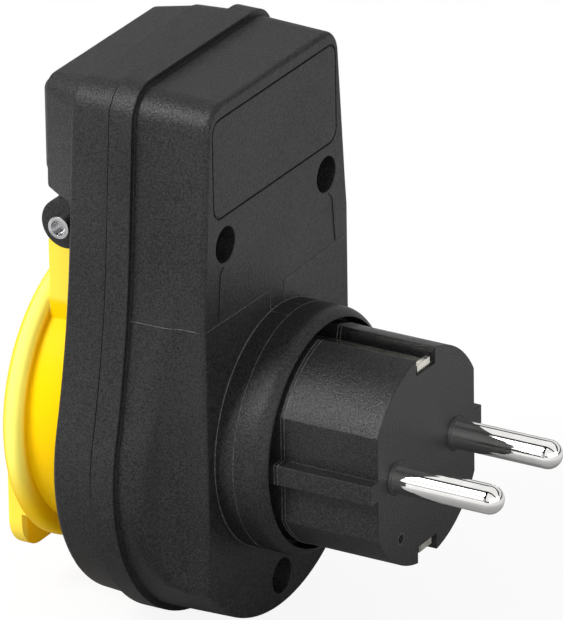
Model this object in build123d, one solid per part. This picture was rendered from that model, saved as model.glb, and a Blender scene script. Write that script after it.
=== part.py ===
from build123d import *
import math
import os

# A switched socket adapter: an earthed plug at the back, a socket under a sprung yellow
# lid at the front and a rocker switch above it. The origin is on the plug's flat face at
# its axis, +Y points into the wall socket, +Z up and -Y to the user. Sizes are in mm.

# Plug
plug_r = 17.8                 # round plug body
plug_length = 17.5            # from the collar's ring face to the plug's flat face
plug_flat_x = 15.4            # flats left and right of the pins
plug_rib_x = 17.7             # the rib on each flat, out to here
plug_rib_height = 3.3
plug_wall = 2.0
plug_face = 3.5               # thickness of the end face that holds the pins
plug_foot_t = 3.0             # foot of the plug body, behind the collar's step
pin_r = 2.4
pin_length = 19.0
pin_pitch = 19.0              # distance between the pin axes
pin_root = 14.5               # pin length held inside the plug
pin_root_r = 2.8              # thicker root; a small cone leads to it from the plug's face
rivet_r = 1.6
rivet_length = 1.6
boss_wall = 1.4               # wall of the moulded boss round each pin
boss_depth = 12.0
groove_width = 6.0            # earth grooves above and below
groove_depth = 3.0

# Metal strip
strip_t = 0.8                 # earth strips and blade terminals
bar_t = 0.7                   # current bars
bar_width = 6.0
lead_width = 4.0              # the bars where they run up to the switch
earth_width = 4.0
feed_margin = 1.0             # between the feed bar and the plug body's wall
feed_gap = 4 * bar_t          # the feed bar's depth behind the live contact
feed_turn_z = 24.0            # where the feed bar has reached the middle
shift_z = 18.4                # where the live contact's bar leaves the pin's side
bridge_z = 4.4                # height of the bridge over the neutral contact
bar_bend = 4.0                # length of a short bend in a bar
bar_end = 1.5                 # length of a bar past its blade
wire_r = 0.8

# Housing, seen from the front
round_r = 30.0                # lower, round part of the outline
round_z = -3.75
top_z = 62.2
side_top_x = 21.4             # half width at the top
side_draft = 4.5              # degrees that the straight sides lean out
blend_z = 35.0                # where the sides start to swing out to the round part
corner_r = 6.0

# Housing, across its depth
collar_rise = 9.3             # the collar stands this far out of the back face
rear_depth = 17.0             # from the back face to the joint of the shells
front_depth = 7.9             # from the joint to the front face
band_width = 4.05             # raised band of the rear shell at the joint
rear_step = 1.0               # the rear shell behind the band is this much smaller
rear_lean = 1.8               # degrees of draft behind the band
front_step = 0.9
front_lean = 3.6
wall = 2.0
edge_r = 0.8                  # soft outer edges
facet_x = 22.7                # half width of the deep body below the blend
facet_depth = 6.1             # from the back face to where the slanted facet starts
facet_run_x = 6.0             # the facet's slant, outwards and forwards
facet_run_y = 3.4
facet_blend = 5.0
facet_corner = 3.0            # where the slanted facet meets the round bottom
collar_r = 20.2
collar_round = 2.6
ring_gap_r = 18.8             # open ring between plug and collar
ring_gap_depth = 4.2
collar_step_t = 2.6           # step in the collar that holds the plug body's foot

# Line round the panel on the back face
panel_line_t = 0.35
panel_line_depth = 0.3
panel_x = 19.3
panel_low = 41.5
panel_high = 58.5
panel_corner = 2.4

# Seal between the shells
seal_inset = 1.3
seal_width = 1.0
seal_height = 1.0

# Switch block
block_rise = 6.5              # from the front face to the block's face
block_span = 22.2             # from the housing's top down to the block's underside
block_sink = 0.3              # the block starts this far behind the front face
block_inset = 1.6             # how far its base lies inside the housing's outline
block_low_corner = 1.0
block_low_rise = 0.5          # the underside rises this much towards the front
block_high_drop = 2.6         # the block's face ends this far below the housing's top
block_front_x = 17.4
block_front_corner = 2.6

# Screws
screw_x = 15.75
screw_drop = 3.25             # upper screws, below the block's underside
low_screw_rise = 6.65         # lower screw, above the lowest point of the outline
well_r = 3.0                  # open screw well in the back face
well_depth = 7.8
screw_head_r = 2.75
screw_head_h = 1.8
screw_slot = 0.6
screw_r = 1.5
screw_length = 12.4
screw_floor = 2.2             # material of the rear shell under a screw's head
rear_post_r = 4.2
front_post_r = 3.3

# Socket
rim_rise = 2.3                # the socket's rim stands this far out of the front face
socket_depth = 17.5
socket_r = 19.4
rim_r = 20.6
flange_t = 1.8
floor_t = 2.5
cheek_x = 15.8                # flat cheeks that guide a plug
cheek_height = 19.0
cheek_slot = 5.2
cheek_slot_x = 18.2
entry_r = 2.8                 # pin entry holes
contact_r = 2.45
contact_wall = 0.7
contact_length = 15.4
contact_slit = 0.9
bow_t = 0.6
bow_z = 18.7                  # spring arms of the earth bow
bow_touch_z = 15.6
bow_bends = (15.5, 9.0, 4.0, 1.5)   # the arm's bends, this far behind the rim

# Switch
switch_drop = 12.2            # from the housing's top to the switch's middle
case_x = 27.4
case_z = 13.6
case_depth = 16.2
bezel_x = 31.0
bezel_z = 15.8
bezel_t = 1.6
bezel_r = 1.6
rocker_half = 12.4            # from the pivot to the rocker's ends
rocker_z = 10.4
rocker_angle = 10.0           # the rocker leans this much either side of the middle
rocker_rise = 3.2             # from the pivot to the middle of its front
rocker_keel = 3.0             # from the pivot down to its underside
rocker_inset = 1.8            # the pivot lies this far behind the block's face
rocker_room = 2.0             # free depth under the rocker
trunnion_r = 1.2
trunnion_length = 0.8
blade_pitch = 8.0
blade_height = 6.0
blade_past = 2.25             # the blades reach this far through the bars' plane
blade_root = 1.0              # how far a blade reaches into the case

# Lid
skirt_gap = 0.5               # radial, between the socket's rim and the lid's skirt
skirt_wall = 1.6
skirt_depth = 7.8
lid_gap = 0.5                 # the closed lid's skirt ends this far from the front face
rim_out = 2.9                 # the lid's rim stands out from its skirt
rim_t = 2.3
rim_round = 1.5
dome_rise = 2.3
dome_inset = 4.6              # the dome meets the rounded rim this far from its edge
lid_wall = 2.0
lid_seal_t = 2.0
lid_seal_width = 2.2
tab_x = 14.6                  # half width of the finger lip
tab_stand = 1.8               # the finger lip's back lies this far in front of the dome
tab_t = 2.8
tab_over = 0.5                # it ends this far below the lid's rim
tab_height = 15.1
tab_corner = 5.4
tab_soft = 0.8
strap_x = 14.9
strap_set = 0.2               # from the rim's back to the strap's front
strap_shoulder = 5.45         # the strap is full below this distance from the hinge
strap_top = 4.15              # above this its front runs straight to the hinge
strap_top_out = 4.0

# Hinge
hinge_out = 2.3               # the hinge's axis, in front of the front face
hinge_drop = 3.95             # and below the block's underside
hinge_pin_r = 1.0
hinge_head_r = 1.85
hinge_head_t = 1.9
hinge_dish_r = 1.3            # the head is hollow, as a tubular rivet's
hinge_dish_depth = 1.2
ear_r = 4.2
ear_in_x = 15.3
ear_out_x = 19.3
barrel_r = 2.6
spring_wire_r = 0.28
spring_r = 1.75
spring_turns = 3
spring_pitch = 1.05
spring_leg_up = 5.8
spring_leg_down = 6.0
spring_slot_x = 2.6
spring_notch = 3.6            # open notch in the front of the lid's strap, below the pin

# Clearances
fit_gap = 0.05                # between pieces that stay put
run_gap = 0.4                 # between pieces that move past each other
shaft_gap = 0.06              # radial, for a pin or trunnion in its hole

# Places that follow
collar_y = -plug_length
foot_y = collar_y - ring_gap_depth - collar_step_t
rear_y = collar_y - collar_rise
joint_y = rear_y - rear_depth
front_y = joint_y - front_depth
block_y = front_y - block_rise
block_base_y = front_y + block_sink
band_back_y = joint_y + band_width
facet_inner_y = rear_y - facet_depth
facet_outer_y = facet_inner_y - facet_run_y
cavity_back_y = rear_y - wall
cavity_front_y = front_y + wall
block_base_low = top_z - block_span
block_front_low = block_base_low + block_low_rise
block_front_high = top_z - block_high_drop
screw_z = block_base_low - screw_drop
low_screw_z = round_z - round_r + low_screw_rise
screw_seat_y = rear_y - well_depth
post_joint_y = screw_seat_y - screw_floor
flange_r = -low_screw_z - front_post_r - run_gap
rim_y = front_y - rim_rise
floor_y = rim_y + socket_depth
floor_back_y = floor_y + floor_t
bar_y = floor_back_y + bar_t / 2
feed_reach = plug_r - plug_wall - feed_margin
feed_z = math.sqrt(feed_reach ** 2 - (pin_pitch / 2 + bar_width / 2) ** 2) - bar_t / 2
switch_z = top_z - switch_drop
case_back_y = block_y + case_depth
rocker_pivot_y = block_y + rocker_inset
blade_end_y = bar_y + blade_past
skirt_r = rim_r + skirt_gap + skirt_wall
lid_r = skirt_r + rim_out
lid_dome_r = lid_r - dome_inset
lid_back_y = front_y - lid_gap
rim_step_y = lid_back_y - skirt_depth
lid_edge_y = rim_step_y - rim_t
lid_front_y = lid_edge_y - dome_rise
seal_y = rim_y - lid_seal_t
lid_seal_inner_r = skirt_r - skirt_wall - lid_seal_width
tab_back_y = lid_front_y - tab_stand
tab_front_y = tab_back_y - tab_t
tab_low_z = -lid_r - tab_over
tab_high_z = tab_low_z + tab_height
hinge_y = front_y - hinge_out
hinge_z = block_base_low - hinge_drop
strap_front_y = rim_step_y + strap_set
pins_x = (-pin_pitch / 2, pin_pitch / 2)
blades_x = (-blade_pitch, 0.0, blade_pitch)
posts = ((-screw_x, screw_z), (screw_x, screw_z), (0.0, low_screw_z))


def at(y):
    """The drawing plane across the depth at y: its x is X and its y is Z."""
    return Plane.XZ.offset(-y)


def slab(shape, y_from, y_to):
    """A drawing pulled from one depth to another."""
    return extrude(at(y_from) * shape, amount=y_from - y_to, dir=(0, -1, 0))


def rod(r, x, z, y_from, y_to):
    return slab(Pos(x, z) * Circle(r), y_from, y_to)


def across(shape, x_from, x_to):
    """A drawing in the Y-Z plane pulled along X."""
    return extrude(Plane.YZ.offset(x_from) * shape, amount=x_to - x_from, dir=(1, 0, 0))


def upright(shape, z_from, z_to):
    """A drawing in the X-Y plane pulled along Z."""
    return extrude(Plane.XY.offset(z_from) * shape, amount=z_to - z_from, dir=(0, 0, 1))


def both_x(shape):
    return shape + mirror(shape, Plane.YZ)


def both_z(shape):
    return shape + mirror(shape, Plane.XY)


def strip(points, t):
    """The edge view of a bent strip of thickness t, drawn about the line through points."""
    def side(sign):
        line = []
        for i, here in enumerate(points):
            before = Vector(*points[max(i - 1, 0)])
            after = Vector(*points[min(i + 1, len(points) - 1)])
            spot = Vector(*here)
            a = (spot - before) if i > 0 else (after - spot)
            b = (after - spot) if i < len(points) - 1 else a
            a_side = Vector(-a.Y, a.X).normalized()
            b_side = Vector(-b.Y, b.X).normalized()
            middle = (a_side + b_side).normalized()
            spot += middle * (sign * t / 2 / middle.dot(a_side))
            line.append((spot.X, spot.Y))
        return line

    return make_face(Polyline(*side(1), *reversed(side(-1)), close=True))


def outline(inset):
    """The housing's outline: leaning straight sides that swing out to a round lower part."""
    lean = math.radians(side_draft)
    out = Vector(math.cos(lean), math.sin(lean))
    centre = Vector(0, round_z)
    start = Vector(side_top_x + (top_z - blend_z) * math.tan(lean), blend_z)
    reach = start - centre
    swing = (reach.length ** 2 - round_r ** 2) / (2 * (round_r - out.dot(reach)))
    swing_centre = start + out * swing
    towards = (swing_centre - centre).normalized()
    line_end = start - out * inset
    round_start = centre + towards * (round_r - inset)
    middle = (line_end + round_start) * 0.5 - swing_centre
    swing_middle = swing_centre + middle.normalized() * (swing + inset)
    high = top_z - inset
    high_x = line_end.X - (high - line_end.Y) * math.tan(lean)
    right = [(high_x, high), (line_end.X, line_end.Y), (swing_middle.X, swing_middle.Y)]
    right.append((round_start.X, round_start.Y))
    left = [(-x, z) for x, z in right]
    edges = [
        Line(left[0], right[0]),
        Line(right[0], right[1]),
        ThreePointArc(right[1], right[2], right[3]),
        ThreePointArc(right[3], (0, round_z - round_r + inset), left[3]),
        ThreePointArc(left[3], left[2], left[1]),
        Line(left[1], left[0]),
    ]
    shape = make_face(edges)
    return fillet(shape.vertices().sort_by(Axis.Y)[-2:], max(corner_r - inset, edge_r))


def drafted(inset, y_from, y_to, lean):
    """The outline pulled from one depth to another, its sides leaning in by lean degrees."""
    far_inset = inset + abs(y_to - y_from) * math.tan(math.radians(lean))
    return loft([at(y_from) * outline(inset), at(y_to) * outline(far_inset)], ruled=True)


def facet_cut(grow):
    """What is cut from each side, so that the deep body is narrower than the round part."""
    slant = math.atan2(facet_run_y, facet_run_x)
    near_x = facet_x - grow
    corner_y = facet_inner_y - grow / math.cos(slant) + grow * math.tan(slant)
    far_x = round_r + wall
    far_y = corner_y - (far_x - near_x) * math.tan(slant)
    points = [(near_x, corner_y), (near_x, collar_y), (far_x, collar_y), (far_x, far_y)]
    shape = make_face(Polyline(*points, close=True))
    corner = shape.vertices().sort_by_distance((near_x, corner_y))[0]
    shape = fillet(corner, facet_blend + grow)
    return both_x(upright(shape, round_z - round_r - wall, blend_z + wall))


def plug_outline(inset):
    """The plug seen from its face: round, with a flat left and right."""
    return Circle(plug_r - inset) & Rectangle(2 * (plug_flat_x - inset), 2 * plug_r)


# Housing shells

def make_rear_shell():
    deep = drafted(rear_step, band_back_y, rear_y, rear_lean) - facet_cut(0)
    corners = deep.edges().filter_by_position(Axis.Z, round_z - round_r, round_z)
    corners = corners.filter_by_position(Axis.Y, facet_outer_y, rear_y, inclusive=(False, False))
    deep = fillet(corners, facet_corner)
    deep = fillet(deep.faces().sort_by(Axis.Y)[-1].outer_wire().edges(), edge_r)
    collar = rod(collar_r, 0, 0, cavity_back_y, collar_y)
    collar = fillet(collar.faces().sort_by(Axis.Y)[-1].edges(), collar_round)
    inner = drafted(rear_step + wall, joint_y, cavity_back_y, rear_lean) - facet_cut(wall)
    shell = slab(outline(0), joint_y, band_back_y) + deep - inner + collar
    room = slab(outline(rear_step), joint_y, rear_y)
    for x, z in posts:
        shell += rod(rear_post_r, x, z, cavity_back_y, post_joint_y) & room

    shell -= slab(Circle(plug_r + fit_gap), collar_y, cavity_back_y)
    shell -= slab(Circle(ring_gap_r), collar_y, collar_y - ring_gap_depth)
    shell -= slab(Circle(ring_gap_r), foot_y, cavity_back_y)
    for x, z in posts:
        shell -= rod(well_r, x, z, rear_y, screw_seat_y)
        shell -= rod(screw_r + fit_gap, x, z, rear_y, post_joint_y)
    shell -= slab(panel_line(), rear_y, rear_y - panel_line_depth)
    seal_ring = outline(seal_inset) - outline(seal_inset + seal_width)
    return shell - slab(seal_ring, joint_y, joint_y + seal_height)


def panel_line():
    """The fine groove round the bare panel in the upper part of the back face."""
    def panel(inset):
        shape = Rectangle(2 * (panel_x - inset), panel_high - panel_low - 2 * inset)
        return Pos(0, (panel_high + panel_low) / 2) * fillet(shape.vertices(), panel_corner - inset)

    return panel(0) - panel(panel_line_t)


def make_shell_seal():
    ring = outline(seal_inset + fit_gap) - outline(seal_inset + seal_width - fit_gap)
    return slab(ring, joint_y, joint_y + seal_height - fit_gap)


def side_x(z, inset):
    """Half width of the housing's straight side at height z."""
    return side_top_x + (top_z - z) * math.tan(math.radians(side_draft)) - inset


def block_form(inset, back_y, end_y):
    """The raised switch block, which leans in on all sides, or the hollow inside it."""
    base_high = top_z - block_inset

    def section(y):
        share = (y - block_base_y) / (block_y - block_base_y)
        low = block_base_low + (block_front_low - block_base_low) * share + inset
        high = base_high + (block_front_high - base_high) * share - inset
        xs = []
        for z, base_z in ((low, block_base_low), (high, base_high)):
            base_x = side_x(base_z, block_inset)
            xs.append(base_x + (block_front_x - base_x) * share - inset)
        corners = [(-xs[0], low), (xs[0], low), (xs[1], high), (-xs[1], high)]
        shape = make_face(Polyline(*corners, close=True))
        high_r = corner_r - block_inset + (block_front_corner - corner_r + block_inset) * share
        ends = shape.vertices().sort_by(Axis.Y)
        shape = fillet(ends[:2], max(block_low_corner - inset, edge_r))
        return at(y) * fillet(shape.vertices().sort_by(Axis.Y)[-2:], max(high_r - inset, edge_r))

    return loft([section(back_y), section(end_y)], ruled=True)


def block_hollow_base():
    """The opening from the housing into the block's hollow."""
    low = block_base_low + wall
    high = top_z - block_inset - wall
    corners = []
    for sign, z in ((-1, low), (1, low), (1, high), (-1, high)):
        corners.append((sign * side_x(z, block_inset + wall), z))
    shape = make_face(Polyline(*corners, close=True))
    return fillet(shape.vertices(), corner_r - block_inset - wall)


def make_front_shell():
    body = drafted(front_step, joint_y, front_y, front_lean)
    body = fillet(body.faces().sort_by(Axis.Y)[0].edges(), edge_r)
    block = block_form(0, block_base_y, block_y)
    block = fillet(block.faces().sort_by(Axis.Y)[0].edges(), edge_r)
    shell = body + block
    ear = Pos(hinge_y, hinge_z) * Circle(ear_r)
    shell += both_x(across(ear, ear_in_x, ear_out_x))

    inner = drafted(front_step + wall, joint_y, cavity_front_y, front_lean)
    inner += block_form(wall, block_base_y, block_y + wall)
    inner += slab(block_hollow_base(), cavity_front_y + wall, block_base_y)
    backing = Pos(hinge_y, hinge_z) * Circle(barrel_r + run_gap + wall)
    inner -= across(backing, -ear_out_x, ear_out_x)
    shell -= inner
    for x, z in posts:
        shell += rod(front_post_r, x, z, cavity_front_y - fit_gap, post_joint_y - fit_gap)
    for x, z in posts:
        shell -= rod(screw_r + fit_gap / 2, x, z, post_joint_y, screw_seat_y - screw_length - fit_gap)

    shell -= rod(rim_r + fit_gap, 0, 0, cavity_front_y + wall, front_y - wall)
    case = Pos(0, switch_z) * Rectangle(case_x + 2 * fit_gap, case_z + 2 * fit_gap)
    shell -= slab(case, block_y + wall + fit_gap, block_y - wall)
    channel = Pos(hinge_y, hinge_z) * Circle(barrel_r + run_gap)
    shell -= across(channel, -ear_in_x, ear_in_x)
    leg_x = spring_pitch * spring_turns / 2
    leg_hole = Pos(leg_x, hinge_y - spring_r) * Circle(spring_wire_r + 2 * shaft_gap)
    shell -= upright(leg_hole, hinge_z + barrel_r, block_front_low + wall + edge_r)
    pin_hole = Pos(hinge_y, hinge_z) * Circle(hinge_pin_r + shaft_gap)
    return shell - across(pin_hole, -ear_out_x - wall, ear_out_x + wall)


# Plug

def make_plug_insert():
    body = slab(plug_outline(0), 0, foot_y)
    rib = Rectangle(2 * plug_rib_x, plug_rib_height) & Circle(plug_r)
    body += slab(rib, 0, foot_y)
    body += slab(Circle(ring_gap_r - fit_gap), foot_y, foot_y - plug_foot_t)
    groove = Pos(0, plug_r) * Rectangle(groove_width, 2 * groove_depth)
    grooves = slab(both_side(groove), 0, foot_y - plug_foot_t)
    floor = Pos(0, plug_r) * Rectangle(groove_width + 2 * plug_wall, 2 * (groove_depth + plug_wall))
    hollow = slab(plug_outline(plug_wall) - both_side(floor), -plug_face, foot_y - plug_foot_t)
    body = body - grooves - hollow
    for x in pins_x:
        body += rod(pin_root_r + boss_wall, x, 0, -plug_face + fit_gap, -boss_depth)
    for x in pins_x:
        body -= rod(pin_root_r + fit_gap / 2, x, 0, 0, -boss_depth)
    return body


def both_side(shape):
    """A drawing and its copy below the axis."""
    return shape + mirror(shape, Plane.XZ)


def make_pin(x):
    nose = pin_r * 0.999
    cone = pin_root_r - pin_r
    shank = rod(pin_r, 0, 0, pin_length, 0)
    shank = fillet(shank.faces().sort_by(Axis.Y)[-1].edges(), nose)
    root = rod(pin_root_r, 0, 0, cone, -pin_root)
    root = chamfer(root.faces().sort_by(Axis.Y)[-1].edges(), cone * 0.999)
    return Pos(x, 0, 0) * (shank + root + rod(rivet_r, 0, 0, -pin_root, -pin_root - rivet_length))


def make_plug_earth_strip():
    """The upper side contact: it lies in the groove, with its end bent into the face."""
    z = plug_r - groove_depth + strip_t / 2 + fit_gap
    points = [(bar_y + bar_t / 2 + fit_gap, z), (-strip_t, z), (-strip_t, z + groove_depth / 3)]
    return across(strip(points, strip_t), -earth_width / 2, earth_width / 2)


# Current path

def rivet_tab(points, x):
    """A bar that starts with a riveted tab on a plug pin, seen from its edge."""
    bar = across(strip(points, bar_t), x - bar_width / 2, x + bar_width / 2)
    return bar - rod(rivet_r + fit_gap, x, 0, 0, floor_y / 2)


def make_sleeve(x):
    """A sprung sleeve for a plug's pin, on the bar behind the socket's floor."""
    start_y = floor_back_y + fit_gap
    sleeve = rod(contact_r + contact_wall, x, 0, start_y + contact_length, start_y)
    slit = Pos(x, 0) * Rectangle(contact_slit, 4 * contact_r)
    return sleeve - slab(slit, start_y + contact_length, start_y + contact_length * 0.25)


def make_neutral_contact():
    x = pins_x[0]
    tab_y = -pin_root - bar_t / 2
    low = -bar_width / 2
    plate_y = bar_y + fit_gap
    points = [(tab_y, low), (tab_y, bridge_z), (plate_y, bridge_z), (plate_y, low)]
    bore = rod(contact_r, x, 0, plate_y - bar_t, plate_y + contact_length)
    return rivet_tab(points, x) + make_sleeve(x) - bore


def lead_plate(points, width, y):
    """A flat bar facing the back, about the line through points, at depth y."""
    return slab(strip(points, width), y + bar_t / 2, y - bar_t / 2)


def blade_slot(x):
    return slab(Pos(x, switch_z) * Rectangle(strip_t + 2 * fit_gap, blade_height + 2 * fit_gap), 0, block_y)


def make_live_contact():
    x = pins_x[1]
    top = switch_z + blade_height / 2 + bar_end
    y = bar_y + fit_gap
    base = slab(Pos(x, 0) * Rectangle(bar_width, bar_width + 1), y + bar_t / 2, y - bar_t / 2)
    lead = lead_plate([(x, 0), (x, shift_z), (blade_pitch, shift_z + bar_bend), (blade_pitch, top)], lead_width, y)
    plate = base + lead - rod(contact_r, x, 0, 0, block_y) - blade_slot(blade_pitch)
    return plate + make_sleeve(x) - rod(contact_r, x, 0, 0, y - bar_t)


def make_live_feed_bar():
    x = pins_x[1]
    tab_y = -pin_root - bar_t / 2
    back_y = bar_y + feed_gap
    lead_y = bar_y + fit_gap
    rise_z = feed_z + bar_bend
    top = switch_z + blade_height / 2 + bar_end
    points = [(tab_y, -bar_width / 2), (tab_y, feed_z), (back_y, feed_z), (back_y, rise_z)]
    bar = rivet_tab(points, x)
    route = [(x, rise_z - bar_t), (x, rise_z + bar_bend), (0, feed_turn_z), (0, feed_turn_z + bar_bend)]
    slant = lead_plate(route, lead_width, back_y)
    turn_z = feed_turn_z + bar_bend
    joggle = [(back_y, turn_z), (back_y, turn_z + bar_t), (lead_y, turn_z + bar_bend), (lead_y, top)]
    lead = across(strip(joggle, bar_t), -lead_width / 2, lead_width / 2)
    return bar + slant + lead - blade_slot(0)


def make_lamp_lead():
    """The insulated wire from the neutral contact up to the lamp's blade."""
    low = bridge_z + bar_t / 2 + fit_gap
    high = switch_z - blade_height / 2 - fit_gap
    return upright(Pos(-blade_pitch, bar_y + feed_gap) * Circle(wire_r), low, high)


# Socket

def make_socket_insert():
    body = rod(rim_r, 0, 0, floor_back_y, rim_y)
    body += rod(flange_r, 0, 0, cavity_front_y + flange_t, cavity_front_y + fit_gap)
    body = fillet(body.faces().sort_by(Axis.Y)[0].edges(), edge_r / 2)
    cheeks = Rectangle(2 * rim_r, cheek_height) - Rectangle(2 * cheek_x, cheek_height)
    cheeks -= Rectangle(2 * cheek_slot_x, cheek_slot)
    body -= slab(Circle(socket_r) - cheeks, floor_y, rim_y - wall)
    for x in pins_x:
        body -= rod(entry_r, x, 0, floor_back_y, floor_y)
    slot = Pos(0, bow_z) * Rectangle(earth_width + 2 * fit_gap, bow_t + 2 * fit_gap)
    return body - slab(both_side(slot), floor_back_y, floor_y)


def make_earth_bow():
    """One bent spring strip: a bridge behind the socket's floor and an arm above and below."""
    base_y = bar_y + fit_gap
    bends = (bow_z, bow_touch_z, bow_z - bow_t, bow_z - bow_t)
    arm = [(base_y, 0), (base_y, bow_z)]
    for back, z in zip(bow_bends, bends):
        arm.append((rim_y + back, z))
    half = across(strip(arm, bow_t), -earth_width / 2, earth_width / 2)
    return both_z(half)


# Fasteners

def make_housing_screws():
    screws = []
    for x, z in posts:
        screw = rod(screw_r, x, z, screw_seat_y + fit_gap, screw_seat_y - screw_length)
        screw += rod(screw_head_r, x, z, screw_seat_y + screw_head_h, screw_seat_y + fit_gap)
        cross = Rectangle(screw_head_r, screw_slot) + Rectangle(screw_slot, screw_head_r)
        screw -= slab(Pos(x, z) * cross, screw_seat_y + screw_head_h, screw_seat_y + screw_head_h / 2)
        screws.append(screw)
    return Compound(children=screws)


# Switch

def make_switch_case():
    front = block_y - bezel_t
    shape = Pos(0, switch_z) * RectangleRounded(bezel_x, bezel_z, bezel_r)
    bezel = slab(shape, block_y - fit_gap, front)
    bezel = fillet(bezel.faces().sort_by(Axis.Y)[0].edges(), edge_r)
    case = slab(Pos(0, switch_z) * Rectangle(case_x, case_z), case_back_y, block_y - fit_gap)
    body = case + bezel
    half_x = rocker_half + run_gap
    mouth = Pos(0, switch_z) * Rectangle(2 * half_x, rocker_z + 2 * run_gap)
    body -= slab(mouth, rocker_pivot_y + rocker_keel + rocker_room, front - wall)
    hole = Pos(0, rocker_pivot_y) * Circle(trunnion_r + shaft_gap)
    reach = rocker_z / 2 + run_gap + trunnion_length + fit_gap
    body -= upright(hole, switch_z - reach, switch_z + reach)
    for x in blades_x:
        blade = Pos(x, switch_z) * Rectangle(strip_t, blade_height)
        body -= slab(blade, case_back_y, case_back_y - blade_root)
    return body


def make_switch_terminals():
    blades = []
    for x in blades_x:
        blade = Pos(x, switch_z) * Rectangle(strip_t, blade_height)
        blades.append(slab(blade, blade_end_y, case_back_y - blade_root))
    return Compound(children=blades)


def make_rocker():
    """The rocker, drawn level and then turned to the off side about its pivot."""
    lift = rocker_half * math.tan(math.radians(rocker_angle))
    half = rocker_half
    points = [
        (0, -rocker_rise), (half + 1, -rocker_rise - lift), (half + 1, rocker_keel / 2),
        (half / 2, rocker_keel), (-half / 2, rocker_keel), (-half - 1, rocker_keel / 2),
        (-half - 1, -rocker_rise - lift),
    ]
    shape = make_face(Polyline(*points, close=True)) & Circle(half)
    z_half = rocker_z / 2
    body = upright(shape, -z_half, z_half)
    pin_half = z_half + run_gap + trunnion_length
    body += upright(Circle(trunnion_r), -pin_half, pin_half)
    return Pos(0, rocker_pivot_y, switch_z) * Rot(0, 0, rocker_angle) * body


# Lid and hinge

def make_cap():
    """The round part of the lid: dome, rounded rim, skirt and the ring that backs the seal."""
    shoulder_y = lid_edge_y + (lid_front_y - lid_edge_y) * 0.75
    shoulder = (lid_dome_r, shoulder_y)
    bulge = (lid_r - (lid_r - lid_dome_r) * 0.35, lid_edge_y + (shoulder_y - lid_edge_y) * 0.72)
    rim_start = (lid_r - rim_round, rim_step_y)
    rim_end = (lid_r, rim_step_y - rim_round)
    half = [
        (0, lid_front_y + lid_wall), (lid_seal_inner_r, lid_edge_y + lid_wall),
        (lid_seal_inner_r, seal_y), (skirt_r - skirt_wall, seal_y),
        (skirt_r - skirt_wall, lid_back_y), (skirt_r, lid_back_y), (skirt_r, rim_step_y), rim_start,
    ]
    edges = [Line(a, b) for a, b in zip(half, half[1:])]
    edges.append(TangentArc(rim_start, rim_end, tangent=(1, 0)))
    edges.append(Line(rim_end, (lid_r, lid_edge_y)))
    edges.append(ThreePointArc((lid_r, lid_edge_y), bulge, shoulder))
    edges.append(Line(shoulder, (0, lid_front_y)))
    edges.append(Line((0, lid_front_y), half[0]))
    return revolve(make_face(edges), Axis.Y)


def make_strap():
    """The strap between the cap and the hinge pin."""
    profile = make_face(Polyline(
        (lid_back_y, 0), (lid_back_y, hinge_z), (hinge_y - barrel_r, hinge_z),
        (hinge_y - strap_top_out, hinge_z - strap_top), (strap_front_y, hinge_z - strap_shoulder),
        (strap_front_y, 0), close=True))
    strap = across(profile, -strap_x, strap_x)
    foot = Pos(0, lid_r / 2) * Rectangle(2 * strap_x, lid_r) & Circle(lid_r - rim_round)
    strap += slab(foot, strap_front_y, lid_edge_y)
    barrel = Pos(hinge_y, hinge_z) * Circle(barrel_r)
    return strap + across(barrel, -strap_x, strap_x)


def make_tab():
    """The finger lip: a block on the dome that reaches past the rim, its lower corners round."""
    face = Rectangle(2 * tab_x, tab_high_z - tab_low_z)
    face = Pos(0, (tab_high_z + tab_low_z) / 2) * fillet(face.vertices().sort_by(Axis.Y)[:2], tab_corner)
    block = slab(face, tab_back_y, tab_front_y)
    block = fillet(block.faces().sort_by(Axis.Y)[0].edges(), tab_soft)
    root = slab(face & Circle(lid_r - rim_round), lid_edge_y, tab_back_y)
    return block + root


def make_lid():
    lid = make_cap() + (make_strap() - rod(skirt_r - fit_gap, 0, 0, 0, lid_edge_y)) + make_tab()
    front = hinge_y - spring_r - 2 * spring_wire_r
    low = hinge_z - spring_leg_down - spring_r
    notch = hinge_z - spring_notch
    far = hinge_y - 2 * barrel_r
    high = hinge_z + 2 * barrel_r
    slot = make_face(Polyline(
        (lid_back_y + wall, low), (front, low), (front, notch), (far, notch), (far, high),
        (lid_back_y + wall, high), close=True))
    lid -= across(slot, -spring_slot_x, spring_slot_x)
    pin_hole = Pos(hinge_y, hinge_z) * Circle(hinge_pin_r + shaft_gap)
    return lid - across(pin_hole, -ear_in_x, ear_in_x)


def make_lid_seal():
    ring = Circle(skirt_r - skirt_wall - fit_gap) - Circle(lid_seal_inner_r)
    return slab(ring, seal_y + fit_gap, rim_y - fit_gap)


def make_hinge_pin():
    end = ear_out_x + fit_gap
    pin = across(Pos(hinge_y, hinge_z) * Circle(hinge_pin_r), -end, end)
    head = Pos(hinge_y, hinge_z) * Circle(hinge_head_r)
    dish = Pos(hinge_y, hinge_z) * Circle(hinge_dish_r)
    pin += both_x(across(head, end, end + hinge_head_t))
    return pin - both_x(across(dish, end + hinge_head_t - hinge_dish_depth, end + hinge_head_t))


def spring_point(half_turns):
    """A point of the spring's coil and its direction there, from the front, leg down."""
    angle = math.pi - math.pi * half_turns
    x = spring_pitch * (half_turns / 2 - spring_turns / 2)
    spot = Vector(x, hinge_y + spring_r * math.cos(angle), hinge_z + spring_r * math.sin(angle))
    level = half_turns in (0, 2 * spring_turns)
    along = 0 if level else spring_pitch / (2 * math.pi * spring_r)
    return spot, Vector(along, math.sin(angle), -math.cos(angle)).normalized()


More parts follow.
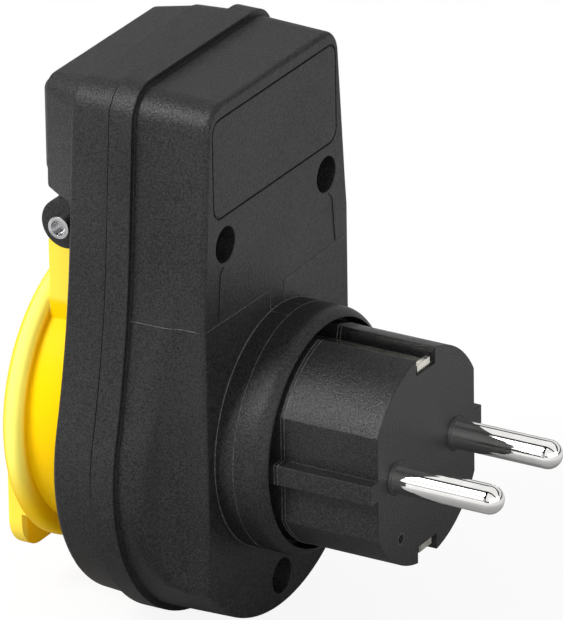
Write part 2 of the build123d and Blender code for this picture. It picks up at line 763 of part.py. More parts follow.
def biarc(start, start_run, end, end_run):
    """Two arcs that leave start and reach end in the given directions."""
    chord = end - start
    spread = 2 * (1 - start_run.dot(end_run))
    along = chord.dot(start_run + end_run)
    reach = (-along + math.sqrt(along ** 2 + spread * chord.dot(chord))) / spread
    joint = (start + end + (start_run - end_run) * reach) * 0.5
    first = TangentArc(start, joint, tangent=start_run)
    return [first, TangentArc(joint, end, tangent=first % 1)]


def make_lid_spring():
    """The torsion spring: turns round the pin, a leg up into the housing and one down the lid."""
    ends = [spring_point(i) for i in range(2 * spring_turns + 1)]
    path = []
    for (start, start_run), (end, end_run) in zip(ends, ends[1:]):
        path += biarc(start, start_run, end, end_run)
    first, first_run = ends[0]
    last, last_run = ends[-1]
    path.insert(0, Line(first - first_run * spring_leg_down, first))
    path.append(Line(last, last + last_run * spring_leg_up))
    wire = Wire(path)
    gap = least_gap(wire)
    print(f"least gap between turns of the lid spring: {gap:.2f} mm")
    return sweep(Plane(path[0] @ 0, z_dir=path[0] % 0) * Circle(spring_wire_r), path=wire)


def least_gap(wire):
    """Free space between stretches of the spring that are more than half a turn apart."""
    count = 600
    spots = [wire @ (i / count) for i in range(count + 1)]
    apart = int(count * math.pi * spring_r / wire.length) + 1
    gaps = []
    for i, spot in enumerate(spots):
        for other in spots[i + apart:]:
            gaps.append((spot - other).length)
    return min(gaps) - 2 * spring_wire_r


nodes = {
    "rear_shell": make_rear_shell(),
    "front_shell": make_front_shell(),
    "shell_seal": make_shell_seal(),
    "housing_screws": make_housing_screws(),
    "plug_insert": make_plug_insert(),
    "plug_pin_neutral": make_pin(pins_x[0]),
    "plug_pin_live": make_pin(pins_x[1]),
    "plug_earth_strip_upper": make_plug_earth_strip(),
    "plug_earth_strip_lower": mirror(make_plug_earth_strip(), Plane.XY),
    "neutral_contact": make_neutral_contact(),
    "live_contact": make_live_contact(),
    "live_feed_bar": make_live_feed_bar(),
    "lamp_lead": make_lamp_lead(),
    "socket_insert": make_socket_insert(),
    "earth_bow": make_earth_bow(),
    "switch_case": make_switch_case(),
    "switch_terminals": make_switch_terminals(),
    "switch_rocker": make_rocker(),
    "lid": make_lid(),
    "lid_seal": make_lid_seal(),
    "hinge_pin": make_hinge_pin(),
    "lid_spring": make_lid_spring(),
}

os.makedirs("parts", exist_ok=True)
for name, shape in nodes.items():
    export_step(shape, f"parts/{name}.step")
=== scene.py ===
import math

import bpy
from mathutils import Matrix, Vector
from mathutils.bvhtree import BVHTree


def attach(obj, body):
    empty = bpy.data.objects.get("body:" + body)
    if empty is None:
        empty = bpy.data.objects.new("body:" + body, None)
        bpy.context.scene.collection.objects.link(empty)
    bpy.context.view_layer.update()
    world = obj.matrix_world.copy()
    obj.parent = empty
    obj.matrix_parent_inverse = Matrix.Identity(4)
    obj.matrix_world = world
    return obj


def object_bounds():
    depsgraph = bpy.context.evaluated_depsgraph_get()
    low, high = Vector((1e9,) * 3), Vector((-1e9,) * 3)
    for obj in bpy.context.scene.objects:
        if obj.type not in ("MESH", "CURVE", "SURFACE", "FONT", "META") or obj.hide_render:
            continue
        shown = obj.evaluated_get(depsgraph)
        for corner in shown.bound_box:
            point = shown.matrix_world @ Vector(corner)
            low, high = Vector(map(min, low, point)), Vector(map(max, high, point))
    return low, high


# The switched socket adapter, seen from its +X side, a little from behind and from above.
# Metres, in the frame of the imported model: the plug points along +Y, the lid hangs on the
# -Y side, +Z is up.

MM = 0.001
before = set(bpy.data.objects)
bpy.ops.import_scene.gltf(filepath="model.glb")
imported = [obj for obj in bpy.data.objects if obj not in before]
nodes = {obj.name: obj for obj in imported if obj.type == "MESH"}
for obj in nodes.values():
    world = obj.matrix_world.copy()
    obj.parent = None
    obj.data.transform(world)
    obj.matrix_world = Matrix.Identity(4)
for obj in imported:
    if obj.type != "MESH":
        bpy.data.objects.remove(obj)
cad_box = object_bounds()

# Camera: stands on the +X side, 30 degrees round towards the plug, and 24 degrees up
CAMERA_PLACE = Vector((1.2162, 0.6913, 0.6501))
CAMERA_AIM = Vector((0.0034, -0.0241, 0.0213))
CAMERA_ROLL = math.radians(-0.9)
CAMERA_LENS = 568.7
CAMERA_SENSOR = 36.0
CAMERA_REACH = 20.0

# Surroundings. Their places are parts of the unit vector that points there.
SKY_HIGH = 0.78               # what they add to matt surfaces, from high up
SKY_LOW = 0.22                # and from the horizon and below
SKY_TOP = 0.8                 # height from which it is SKY_HIGH
MIRROR_STRENGTH = 1.0         # how white they look in a reflection
MIRROR_FAR = 0.85             # and low on the far side, behind the object
FAR_X = (-0.75, -0.4)         # soft limits of that side
FAR_Z = (0.4, 0.65)
HORIZON = 0.05                # height of the dark line where the studio's floor ends
HORIZON_HALF = 0.09
CEILING_GAPS = ((0.23, 0.12), (-1.23, 0.2))    # lean and half width of the dark gaps overhead
CEILING_Z = 0.3               # height that these gaps begin at
SIDE_GAP = -0.17              # place in Y of the dark gap between the lamps at the side
SIDE_GAP_HALF = 0.2
SIDE_X = 0.3                  # place in X that this gap begins at
GAP_CORE = 0.6                # share of a half width that is fully dark

# Soft square lamps: name, direction they stand in, distance, size and watts
LAMPS = (
    ("key", (0.57, -0.42, 0.71), 1.0, 0.32, 9.0),
    ("fill", (0.62, 0.75, 0.12), 1.2, 1.0, 7.0),
    ("side", (0.9, -0.42, 0.12), 1.2, 0.8, 1.2),
    ("back", (-0.05, 0.97, 0.15), 1.2, 0.8, 2.6),
)

# Floor
FLOOR_HALF = 3.0
FLOOR_GAP = 0.5 * MM          # how far it lies below the object
FLOOR_WHITE = 0.82
FLOOR_BOUNCE = 0.5            # how pale it is for the light it throws back
# darker close by in a reflection: painted shade of the floor near the object
FLOOR_MIRRORED_NEAR = 0.26    # how pale it is in a reflection, close by
FLOOR_MIRRORED_FAR = 0.66     # and further out
MIRRORED_REACH = (12 * MM, 120 * MM)    # distances between which that changes
GLOW_SEEN = 0.9               # share of plain white for the camera, so its shadow stays faint
GLOW_MIRRORED = 0.06          # and in a reflection, far enough away
GLOW_REACH = (30 * MM, 110 * MM)

# Blender's numbers for the two colours and the result of a Mix node
MIX_FIRST = 6
MIX_SECOND = 7
MIX_RESULT = 2


def add_camera():
    data = bpy.data.cameras.new("camera")
    data.sensor_fit = "AUTO"
    data.sensor_width = CAMERA_SENSOR
    data.lens = CAMERA_LENS
    data.clip_end = CAMERA_REACH
    camera = bpy.data.objects.new("camera", data)
    bpy.context.scene.collection.objects.link(camera)
    look = (CAMERA_AIM - CAMERA_PLACE).to_track_quat("-Z", "Y").to_matrix().to_4x4()
    roll = Matrix.Rotation(CAMERA_ROLL, 4, "Z")
    camera.matrix_world = Matrix.Translation(CAMERA_PLACE) @ look @ roll
    bpy.context.scene.camera = camera


class Nodes:
    """A short way to write a node tree: nodes are added and wired in one line each."""

    def __init__(self, tree):
        self.tree = tree
        tree.nodes.clear()

    def add(self, kind, wires=None, **settings):
        """A new node. Wires gives its inputs, each a value or another node's output."""
        node = self.tree.nodes.new(kind)
        for name, value in settings.items():
            setattr(node, name, value)
        for name, value in (wires or {}).items():
            socket = node.inputs[name]
            if isinstance(value, bpy.types.NodeSocket):
                self.tree.links.new(value, socket)
            else:
                socket.default_value = value
        return node

    def place(self):
        """Where a point of the surface lies in its object."""
        return self.add("ShaderNodeTexCoord").outputs["Object"]

    def parts(self, vector):
        """The X, Y and Z of a vector."""
        return self.add("ShaderNodeSeparateXYZ", {"Vector": vector}).outputs

    def math(self, operation, a, b=0.0, c=0.0):
        return self.add("ShaderNodeMath", {0: a, 1: b, 2: c}, operation=operation).outputs[0]

    def ramp(self, value, low, high, low_out=0.0, high_out=1.0):
        """Value taken from low..high to low_out..high_out, with soft ends."""
        wires = {
            "Value": value, "From Min": low, "From Max": high,
            "To Min": low_out, "To Max": high_out,
        }
        node = self.add("ShaderNodeMapRange", wires, interpolation_type="SMOOTHSTEP")
        return node.outputs["Result"]

    def noise(self, place, scale, detail=2.0, roughness=0.5):
        wires = {"Vector": place, "Scale": scale, "Detail": detail, "Roughness": roughness}
        return self.add("ShaderNodeTexNoise", wires).outputs["Fac"]

    def colour(self, share, first, second):
        """A colour between two others, each three numbers or another node's output."""
        wires = {0: share}
        for number, end in ((MIX_FIRST, first), (MIX_SECOND, second)):
            wires[number] = end if isinstance(end, bpy.types.NodeSocket) else (*end, 1.0)
        return self.add("ShaderNodeMix", wires, data_type="RGBA").outputs[MIX_RESULT]


# World and lamps

def clear_of(t, off, half):
    """0 in the middle of a gap and 1 outside it, from the distance off its middle."""
    return t.ramp(t.math("ABSOLUTE", off), half * GAP_CORE, half)


def add_world():
    """Even surroundings; a reflection shows the horizon and the gaps between the lamps."""
    world = bpy.data.worlds.new("studio")
    bpy.context.scene.world = world
    world.use_nodes = True
    t = Nodes(world.node_tree)
    path = t.add("ShaderNodeLightPath").outputs
    parts = t.parts(t.add("ShaderNodeTexCoord").outputs["Generated"])

    mirror = clear_of(t, t.math("SUBTRACT", parts["Z"], HORIZON), HORIZON_HALF)
    below = t.math("LESS_THAN", parts["Z"], CEILING_Z)
    for lean, half in CEILING_GAPS:
        gap = clear_of(t, t.math("MULTIPLY_ADD", parts["Z"], -lean, parts["X"]), half)
        mirror = t.math("MULTIPLY", mirror, t.math("MAXIMUM", gap, below))
    gap = clear_of(t, t.math("SUBTRACT", parts["Y"], SIDE_GAP), SIDE_GAP_HALF)
    elsewhere = t.math("LESS_THAN", parts["X"], SIDE_X)
    mirror = t.math("MULTIPLY", mirror, t.math("MAXIMUM", gap, elsewhere))
    beyond = t.ramp(parts["X"], *FAR_X, 1.0, 0.0)
    low = t.ramp(parts["Z"], *FAR_Z, 1.0, 0.0)
    far = t.math("MULTIPLY", beyond, low)
    level = t.ramp(far, 0.0, 1.0, MIRROR_STRENGTH, MIRROR_FAR)
    mirror = t.math("MULTIPLY", mirror, level)

    shown = t.math("MAXIMUM", path["Is Camera Ray"], path["Is Transmission Ray"])
    seen = t.math("MULTIPLY", path["Is Glossy Ray"], mirror)
    plain = t.math("SUBTRACT", 1.0, t.math("MAXIMUM", shown, path["Is Glossy Ray"]))
    plain = t.math("MULTIPLY", plain, t.ramp(parts["Z"], 0.0, SKY_TOP, SKY_LOW, SKY_HIGH))
    strength = t.math("ADD", t.math("ADD", shown, seen), plain)
    back = t.add("ShaderNodeBackground", {"Color": (1, 1, 1, 1), "Strength": strength})
    t.add("ShaderNodeOutputWorld", {"Surface": back.outputs[0]})


def add_lamp(name, direction, distance, size, watts):
    """A square soft lamp that shines at the origin from the given direction."""
    data = bpy.data.lights.new(name, "AREA")
    data.shape = "SQUARE"
    data.size = size
    data.energy = watts
    lamp = bpy.data.objects.new(name, data)
    bpy.context.scene.collection.objects.link(lamp)
    place = Vector(direction).normalized() * distance
    turn = place.to_track_quat("Z", "Y").to_matrix().to_4x4()
    lamp.matrix_world = Matrix.Translation(place) @ turn


# Materials

EDGE_SAMPLES = 4

# Spans of a noise, round its middle, that are stretched over the whole range of a look
SPAN_WIDE = (0.3, 0.7)
SPAN_MIDDLE = (0.35, 0.65)
SPAN_SPECK = (0.38, 0.62)
SPAN_NARROW = (0.4, 0.6)

# Plastic. The scales of grain and clouds are per metre.
CLOUD_SCALE = 45.0
FINE_GRAIN = 2.3              # how much finer the second layer of grain is
COARSE_SHARE = 0.55           # share of the first layer
SPECK_SHARE = 0.8             # share of the grain in the drift of colour, beside the clouds
SHEEN_DRIFT = 0.12            # how far the grain changes the sheen, up and down

# Where a highlight is painted on the lid as paler colour, in the frame of the model
RIM_RADIUS = (23.0 * MM, 24.2 * MM)
RIM_FRONT_Y = (-62.6 * MM, -61.8 * MM)
RIM_BACK_Y = (-59.9 * MM, -59.7 * MM)
RIM_LOW_Z = (-16.0 * MM, -2.0 * MM)
STRAP_Z = (19.5 * MM, 21.0 * MM)
TAB_END_X = 13.0 * MM
TAB_BACK_Y = (-64.2 * MM, -63.2 * MM)
STRAP_AND_TAB_HIGHLIGHT = 0.4           # how pale the strap and the tab's ends are, where the rim is 1

# Metal. The scales of lines and clouds are per metre.
TARNISH_SCALE = 220.0
METAL_LINES = 900.0
PIN_LINES = 2600.0
COAT_END_Y = (0.42 * MM, 0.5 * MM)
COAT_ROUGH = (0.4, 0.43)
PIN_SMOOTHER = 0.38           # how much lower the bare pin's roughness is


def new_material(name):
    material = bpy.data.materials.new(name)
    material.use_nodes = True
    return material, Nodes(material.node_tree)


def finish_material(t, wires, height, strength, depth, soft):
    """The shader, with a relief of the given height and edges softened over the radius soft."""
    edge = t.add("ShaderNodeBevel", {"Radius": soft}, samples=EDGE_SAMPLES)
    relief = t.add("ShaderNodeBump", {
        "Height": height, "Strength": strength, "Distance": depth, "Normal": edge.outputs[0],
    })
    shader = t.add("ShaderNodeBsdfPrincipled", {**wires, "Normal": relief.outputs[0]})
    t.add("ShaderNodeOutputMaterial", {"Surface": shader.outputs[0]})


def moulded(t, place, grain):
    """Patterns of moulded plastic: slow clouds, and the spark-eroded grain of the mould."""
    cloud = t.noise(place, CLOUD_SCALE, detail=3.0)
    coarse = t.noise(place, grain, detail=1.0)
    fine = t.noise(place, grain * FINE_GRAIN, detail=1.0)
    fine = t.math("MULTIPLY", fine, 1 - COARSE_SHARE)
    return cloud, t.math("MULTIPLY_ADD", coarse, COARSE_SHARE, fine)


def plastic(name, dark, light, grain, bump, rough, sheen=0.5):
    """Moulded plastic: fine grain, cloudy gloss and a slight drift of colour."""
    material, t = new_material(name)
    cloud, speck = moulded(t, t.place(), grain)
    cloud_part = t.math("MULTIPLY", cloud, 1 - SPECK_SHARE)
    drift = t.math("MULTIPLY_ADD", speck, SPECK_SHARE, cloud_part)
    sheens = (sheen * (1 - SHEEN_DRIFT), sheen * (1 + SHEEN_DRIFT))
    wires = {
        "Base Color": t.colour(t.ramp(drift, *SPAN_NARROW), dark, light),
        "Roughness": t.ramp(cloud, *SPAN_WIDE, *rough),
        "Specular IOR Level": t.ramp(speck, *SPAN_SPECK, *sheens),
    }
    finish_material(t, wires, speck, strength=bump, depth=0.125 * MM, soft=0.3 * MM)
    return material


def lid_painted_highlight(t, parts):
    """Painted highlight on the lid, as paler colour: most in the thin upper rim, less in the
    strap and the tab's ends.
    """
    across = t.math("POWER", parts["X"], 2.0)
    up = t.math("POWER", parts["Z"], 2.0)
    out = t.ramp(t.math("SQRT", t.math("ADD", across, up)), *RIM_RADIUS)
    behind = t.ramp(parts["Y"], *RIM_FRONT_Y)
    before = t.ramp(parts["Y"], *RIM_BACK_Y, 1.0, 0.0)
    high = t.ramp(parts["Z"], *RIM_LOW_Z)
    rim = t.math("MULTIPLY", t.math("MULTIPLY", out, behind), t.math("MULTIPLY", before, high))
    strap = t.math("MULTIPLY", t.ramp(parts["Z"], *STRAP_Z), behind)
    tab_end = t.math("GREATER_THAN", t.math("ABSOLUTE", parts["X"]), TAB_END_X)
    tab_end = t.math("MULTIPLY", tab_end, t.ramp(parts["Y"], *TAB_BACK_Y, 1.0, 0.0))
    # a weaker painted highlight on the strap and the tab's ends
    less = t.math("MULTIPLY", t.math("MAXIMUM", strap, tab_end), STRAP_AND_TAB_HIGHLIGHT)
    return t.math("MAXIMUM", rim, less)


def lid_plastic():
    """Yellow plastic, with a highlight painted in as paler colour where it is thin."""
    material, t = new_material("lid_yellow")
    place = t.place()
    cloud, speck = moulded(t, place, 2600.0)
    plain = t.colour(t.ramp(cloud, *SPAN_MIDDLE), (0.91, 0.55, 0.0005), (0.96, 0.6, 0.001))
    wires = {
        # the paler colour mixed in here is a painted highlight
        "Base Color": t.colour(lid_painted_highlight(t, t.parts(place)), plain, (1.0, 0.91, 0.17)),
        "Roughness": t.ramp(cloud, *SPAN_WIDE, 0.36, 0.46),
        "Specular IOR Level": 0.06,
    }
    finish_material(t, wires, speck, strength=0.2, depth=0.06 * MM, soft=0.2 * MM)
    return material


def drawn(t, place, streak, lines):
    """Patterns of metal: fine lines, drawn out along axes where streak is small, and tarnish."""
    stretched = t.add("ShaderNodeMapping", {"Vector": place, "Scale": streak}).outputs[0]
    line = t.noise(stretched, lines, detail=3.0, roughness=0.6)
    cloud = t.noise(place, TARNISH_SCALE, detail=4.0, roughness=0.6)
    return line, t.ramp(cloud, *SPAN_MIDDLE)


def pin_metal():
    """Bright nickel with fine lines along the pin; its root is coated with the plug's plastic."""
    material, t = new_material("pin_nickel")
    place = t.place()
    line, tarnish = drawn(t, place, (1.0, 0.06, 1.0), PIN_LINES)
    bare = t.ramp(t.parts(place)["Y"], *COAT_END_Y)
    nickel = t.colour(tarnish, (0.8, 0.79, 0.77), (0.9, 0.895, 0.88))
    coat_gloss = t.ramp(line, *SPAN_WIDE, *COAT_ROUGH)
    wires = {
        "Base Color": t.colour(bare, (0.014, 0.014, 0.015), nickel),
        "Roughness": t.math("MULTIPLY_ADD", bare, -PIN_SMOOTHER, coat_gloss),
        "Metallic": bare,
    }
    finish_material(t, wires, line, strength=0.05, depth=0.02 * MM, soft=0.08 * MM)
    return material


def metal(name, dark, light, rough, streak=(1.0, 1.0, 1.0)):
    """Plated or bare metal with fine drawn lines and slight tarnish."""
    material, t = new_material(name)
    line, tarnish = drawn(t, t.place(), streak, METAL_LINES)
    wires = {
        "Base Color": t.colour(tarnish, dark, light),
        "Roughness": t.ramp(line, *SPAN_WIDE, *rough),
        "Metallic": 1.0,
    }
    finish_material(t, wires, line, strength=0.12, depth=0.02 * MM, soft=0.08 * MM)
    return material


def rubber(name):
    material, t = new_material(name)
    speck = t.noise(t.place(), 2400.0, detail=3.0)
    colour = t.colour(t.ramp(speck, *SPAN_WIDE), (0.012, 0.012, 0.013), (0.028, 0.028, 0.029))
    wires = {"Base Color": colour, "Roughness": 0.8}
    finish_material(t, wires, speck, strength=0.25, depth=0.05 * MM, soft=0.15 * MM)
    return material


def wear(material, *node_names):
    for name in node_names:
        slots = nodes[name].data.materials
        slots.clear()
        slots.append(material)


def dress_nodes():
    """A material for each node of the CAD model."""
    wear(plastic(
        "housing_black_grain", (0.005, 0.005, 0.0053), (0.021, 0.021, 0.0222),
        grain=3000.0, bump=1.0, rough=(0.36, 0.45), sheen=0.27,
    ), "rear_shell", "front_shell")
    wear(plastic(
        "plug_black_satin", (0.006, 0.006, 0.0063), (0.02, 0.02, 0.0212),
        grain=3200.0, bump=1.0, rough=(0.32, 0.4), sheen=0.28,
    ), "plug_insert")
    wear(plastic(
        "socket_black", (0.012, 0.012, 0.013), (0.022, 0.022, 0.023),
        grain=3200.0, bump=0.3, rough=(0.42, 0.52), sheen=0.3,
    ), "socket_insert")
    wear(plastic(
        "switch_black", (0.01, 0.01, 0.011), (0.015, 0.015, 0.016),
        grain=3800.0, bump=0.15, rough=(0.25, 0.32),
    ), "switch_case")
    wear(plastic(
        "rocker_red", (0.42, 0.008, 0.006), (0.56, 0.014, 0.01),
        grain=3800.0, bump=0.08, rough=(0.14, 0.2),
    ), "switch_rocker")
    wear(lid_plastic(), "lid")
    wear(pin_metal(), "plug_pin_neutral", "plug_pin_live")
    wear(metal(
        "earth_metal", (0.56, 0.54, 0.48), (0.82, 0.8, 0.72),
        rough=(0.16, 0.3), streak=(1.0, 0.08, 1.0),
    ), "plug_earth_strip_upper", "plug_earth_strip_lower", "earth_bow")
    wear(metal(
        "contact_brass", (0.6, 0.42, 0.16), (0.78, 0.58, 0.26),
        rough=(0.2, 0.35), streak=(1.0, 0.2, 0.2),
    ), "neutral_contact", "live_contact", "live_feed_bar", "switch_terminals")
    wear(metal(
        "zinc_steel", (0.34, 0.34, 0.35), (0.55, 0.55, 0.55), rough=(0.16, 0.3),
    ), "housing_screws", "hinge_pin")
    wear(metal(
        "spring_steel", (0.5, 0.5, 0.51), (0.68, 0.68, 0.69),
        rough=(0.16, 0.28), streak=(0.2, 1.0, 1.0),
    ), "lid_spring")
    wear(plastic(
        "wire_blue", (0.02, 0.08, 0.35), (0.03, 0.11, 0.45),
        grain=2000.0, bump=0.15, rough=(0.35, 0.45),
    ), "lamp_lead")
    wear(rubber("seal_rubber"), "shell_seal", "lid_seal")


def grey(value):
    return (value, value, value)


def floor_material():
    """Nearly plain white for the camera, less pale in reflections and for the bounced light, and
    darker close by in reflections, a painted shade.
    """
    material, t = new_material("floor_white")
    path = t.add("ShaderNodeLightPath").outputs
    own = t.colour(path["Is Diffuse Ray"], grey(FLOOR_WHITE), grey(FLOOR_BOUNCE))
    out = t.ramp(path["Ray Length"], *MIRRORED_REACH)
    reflected = t.colour(out, grey(FLOOR_MIRRORED_NEAR), grey(FLOOR_MIRRORED_FAR))
    tone = t.colour(path["Is Glossy Ray"], own, reflected)
    matt = t.add("ShaderNodeBsdfDiffuse", {"Color": tone})
    glow = t.add("ShaderNodeEmission", {"Color": (1, 1, 1, 1), "Strength": 1.0})
    direct = t.math("MAXIMUM", path["Is Camera Ray"], path["Is Transmission Ray"])
    direct = t.math("MULTIPLY", direct, GLOW_SEEN)
    far = t.ramp(path["Ray Length"], *GLOW_REACH)
    mirrored = t.math("MULTIPLY", path["Is Glossy Ray"], far)
    mirrored = t.math("MULTIPLY", mirrored, GLOW_MIRRORED)
    share = t.math("MAXIMUM", direct, mirrored)
    mixed = t.add("ShaderNodeMixShader", {0: share, 1: matt.outputs[0], 2: glow.outputs[0]})
    t.add("ShaderNodeOutputMaterial", {"Surface": mixed.outputs[0]})
    return material


def add_floor():
    mesh = bpy.data.meshes.new("floor")
    ground = cad_box[0].z - FLOOR_GAP
    corners = []
    for x, y in ((-1, -1), (1, -1), (1, 1), (-1, 1)):
        corners.append((x * FLOOR_HALF, y * FLOOR_HALF, ground))
    mesh.from_pydata(corners, [], [(0, 1, 2, 3)])
    floor = bpy.data.objects.new("floor", mesh)
    bpy.context.scene.collection.objects.link(floor)
    mesh.materials.append(floor_material())


# Fine marks, laid as threads on the surface of the node that carries them; pale threads are
# painted glints, dark ones painted shade

FORWARD = (0, -1, 0)          # towards the lid
BACKWARD = (0, 1, 0)          # towards the plug
SIDES = {1: "right", -1: "left"}

# Body and slot of a thread, by what it lies on
ON_HOUSING = ("housing", "housing_black")
ON_PLUG = ("housing", "plug_black")
ON_ROCKER = ("rocker", "rocker_red")

# How far out the rays that look for a surface start, in millimetres
SHELL_OUT = 50
FAR_OUT = 90
PLUG_OUT = 40

BACK_Y = -26.8 * MM           # the back face

# The mould's seam, a raised thread whose pale colour is a painted glint: along the side, over the
# back face, down to the collar and round it
SEAM_HALF = 0.07 * MM
SEAM_Z = 24.1 * MM
SEAM_START_Y = -39.5 * MM
SEAM_TO_EDGE = 0.9 * MM       # how far from the back face its part on the side ends
SEAM_CORNER_X = 21.8 * MM     # where it comes onto the back face
SEAM_LEAN = 0.02              # how much it sinks there, for each length inwards
SEAM_END_X = 2.2 * MM         # where it turns down
SEAM_END_Z = 20.4 * MM
SEAM_OFF_BACK = 0.1 * MM      # how far from the back face its part on the collar starts
COLLAR_R = 20.2 * MM
COLLAR_SEAM_Y = -23.5 * MM
COLLAR_SEAM_HALF = 0.06 * MM

# The line at the collar's root, a thread with a painted glint
ROOT_HALF = 0.09 * MM
ROOT_OUT = 0.05 * MM
ROOT_OFF_BACK = 0.03 * MM

# The dark line before the band, round the front shell: painted shadow at the step of the band's
# front edge
BAND_LINE_Y = -44.4 * MM
BAND_MIDDLE_Z = 14.0 * MM
BAND_LINE_HALF = 0.08 * MM

# The short edges below the panel, drawn as dark threads of painted shade, as x and z in
# millimetres
PANEL_EDGE = ((16.4, 33.2), (17.5, 32.1), (17.8, 28.9), (18.3, 24.4))
PANEL_EDGE_HALF = 0.09 * MM

# The fine double step round the plug's foot, drawn as pale threads with a painted glint
PLUG_STEPS = (("plug_step_outer", -16.9 * MM), ("plug_step_inner", -17.5 * MM))
PLUG_STEP_HALF = 0.07 * MM

# The ejector mark on the plug's face, in millimetres: a pale ring with a painted glint round a
# dark pit of painted shade
EJECTOR_X = 8.4
EJECTOR_Z = -11.1
EJECTOR_SINK = 0.7            # share of its half thickness that a thread is sunk by

# The marks on the rocker, in millimetres
MARK_X = 6.8
MARK_Z = 50.0
MARK_HALF_WIDTH = 1.6
MARK_HALF_HEIGHT = 1.8
MARK_THREAD_HALF = 0.22


def surface_of(name):
    mesh = nodes[name].data
    places = [v.co for v in mesh.vertices]
    return BVHTree.FromPolygons(places, [p.vertices for p in mesh.polygons])


def touch(surface, start, towards):
    """The first point of the surface that is met from start."""
    hit = surface.ray_cast(Vector(start), Vector(towards))[0]
    if hit is None:
        raise RuntimeError("no surface under " + str(tuple(start)))
    return hit


def thread(name, points, half, material, body, slot, closed=False):
    """A fine raised line through points on a surface."""
    curve = bpy.data.curves.new(name, "CURVE")
    curve.dimensions = "3D"
    curve.bevel_depth = half
    curve.bevel_resolution = 1
    curve.use_fill_caps = True
    spline = curve.splines.new("POLY")
    spline.points.add(len(points) - 1)
    for point, place in zip(spline.points, points):
        point.co = (*place, 1.0)
    spline.use_cyclic_u = closed
    curve.materials.append(material)
    piece = bpy.data.objects.new(name, curve)
    bpy.context.scene.collection.objects.link(piece)
    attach(piece, body)


def evenly(low, high, count):
    return [low + (high - low) * i / (count - 1) for i in range(count)]


def turns(count, shift=0.0):
    """Angles all the way round."""
    return [2 * math.pi * (i + shift) / count for i in range(count)]


def around(count, shift=0.0):
    """Unit vectors out from the Y axis, all the way round."""
    return [Vector((math.sin(turn), 0, math.cos(turn))) for turn in turns(count, shift)]


def ring_on(surface, middle, far_out, count):
    """Points all round a surface, met from outside."""
    middle = Vector(middle)
    outs = around(count, shift=0.5)
    return [touch(surface, out * far_out * MM + middle, -out) for out in outs]


def add_seams(pale, dark):
    """The lines on the housing: pale threads with painted glints, dark threads with painted
    shade.
    """
    shell = surface_of("rear_shell")
    for side in (1, -1):
        points = []
        for y in evenly(SEAM_START_Y, BACK_Y - SEAM_TO_EDGE, count=40):
            points.append(touch(shell, (side * SHELL_OUT * MM, y, SEAM_Z), (-side, 0, 0)))
        for x in evenly(SEAM_CORNER_X, SEAM_END_X, count=12):
            z = SEAM_Z - (SEAM_CORNER_X - x) * SEAM_LEAN
            points.append(touch(shell, (side * x, 0, z), FORWARD))
        points.append(touch(shell, (side * SEAM_END_X, 0, SEAM_END_Z), FORWARD))
        for y in evenly(BACK_Y + SEAM_OFF_BACK, COLLAR_SEAM_Y, count=4):
            points.append(touch(shell, (side * SEAM_END_X, y, SHELL_OUT * MM), (0, 0, -1)))
        thread("mould_seam_" + SIDES[side], points, SEAM_HALF, pale, *ON_HOUSING)

    seam_middle = Vector((0, COLLAR_SEAM_Y, 0))
    ring = [out * COLLAR_R + seam_middle for out in around(count=96)]
    thread("collar_seam", ring, COLLAR_SEAM_HALF, pale, *ON_HOUSING, closed=True)
    root_middle = Vector((0, BACK_Y + ROOT_OFF_BACK, 0))
    root = [out * (COLLAR_R + ROOT_OUT) + root_middle for out in around(count=96)]
    thread("collar_root", root, ROOT_HALF, pale, *ON_HOUSING, closed=True)

    band_middle = (0, BAND_LINE_Y, BAND_MIDDLE_Z)
    band = ring_on(surface_of("front_shell"), band_middle, FAR_OUT, count=360)
    thread("band_line", band, BAND_LINE_HALF, dark, *ON_HOUSING, closed=True)

    for side in (-1, 1):
        points = [touch(shell, (side * x * MM, 0, z * MM), FORWARD) for x, z in PANEL_EDGE]
        thread("panel_edge_" + SIDES[side], points, PANEL_EDGE_HALF, dark, *ON_HOUSING)


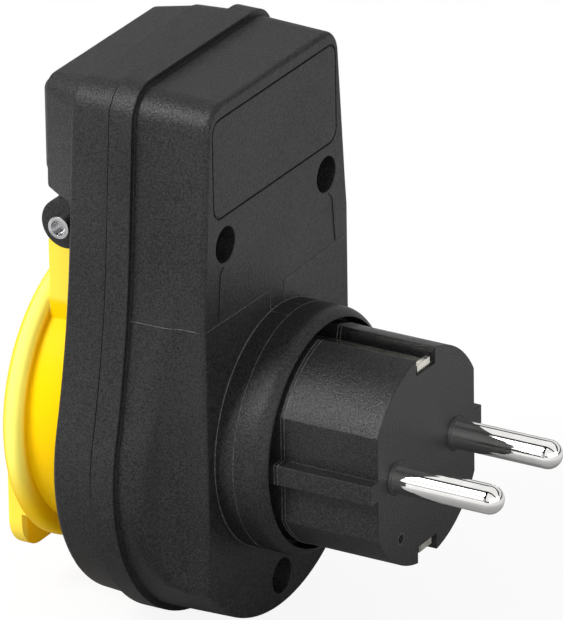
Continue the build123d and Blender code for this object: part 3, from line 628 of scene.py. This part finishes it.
def add_plug_marks(pale, dark):
    """The double step round the plug's foot, and the ejector mark on its face, as threads with
    painted glints and painted shade.
    """
    plug = surface_of("plug_insert")
    for name, y in PLUG_STEPS:
        points = ring_on(plug, (0, y, 0), PLUG_OUT, count=240)
        thread(name, points, PLUG_STEP_HALF, pale, *ON_PLUG, closed=True)

    ejector = (("ejector_rim", 0.95, 0.09, pale), ("ejector_pit", 0.42, 0.45, dark))
    for name, radius, half, material in ejector:
        sink = Vector((0, half * EJECTOR_SINK * MM, 0))
        points = []
        for turn in turns(count=24):
            x = (EJECTOR_X + radius * math.cos(turn)) * MM
            z = (EJECTOR_Z + radius * math.sin(turn)) * MM
            points.append(touch(plug, (x, PLUG_OUT * MM, z), FORWARD) - sink)
        thread(name, points, half * MM, material, *ON_PLUG, closed=True)


def add_switch_marks():
    """The plain on and off marks on the rocker."""
    rocker = surface_of("switch_rocker")
    white = plastic(
        "mark_white", (0.74, 0.74, 0.72), (0.82, 0.82, 0.8),
        grain=3000.0, bump=0.1, rough=(0.4, 0.5),
    )
    bar = []
    for up in (-MARK_HALF_HEIGHT, 0, MARK_HALF_HEIGHT):
        start = (MARK_X * MM, -FAR_OUT * MM, MARK_Z * MM + up * MM)
        bar.append(touch(rocker, start, BACKWARD))
    thread("mark_on", bar, MARK_THREAD_HALF * MM, white, *ON_ROCKER)
    loop = []
    for turn in turns(count=32):
        x = (-MARK_X + MARK_HALF_WIDTH * math.cos(turn)) * MM
        z = MARK_Z * MM + MARK_HALF_HEIGHT * math.sin(turn) * MM
        loop.append(touch(rocker, (x, -FAR_OUT * MM, z), BACKWARD))
    thread("mark_off", loop, MARK_THREAD_HALF * MM, white, *ON_ROCKER, closed=True)


def add_marks():
    # Pale threads: painted glints on seams, edges and steps
    pale = plastic(
        "painted_glint_grey", (0.05, 0.05, 0.052), (0.13, 0.13, 0.135),
        grain=1500.0, bump=0.3, rough=(0.35, 0.45), sheen=0.5,
    )
    # Dark threads: painted shade in the gap before the band, below the panel and in the ejector's
    # pit
    dark = plastic(
        "painted_shade_black", (0.003, 0.003, 0.003), (0.006, 0.006, 0.006),
        grain=2300.0, bump=0.3, rough=(0.6, 0.7), sheen=0.1,
    )
    add_seams(pale, dark)
    add_plug_marks(pale, dark)
    add_switch_marks()


bpy.context.scene.view_settings.view_transform = "Standard"
add_camera()
add_world()
for lamp_row in LAMPS:
    add_lamp(*lamp_row)
add_floor()
dress_nodes()
add_marks()
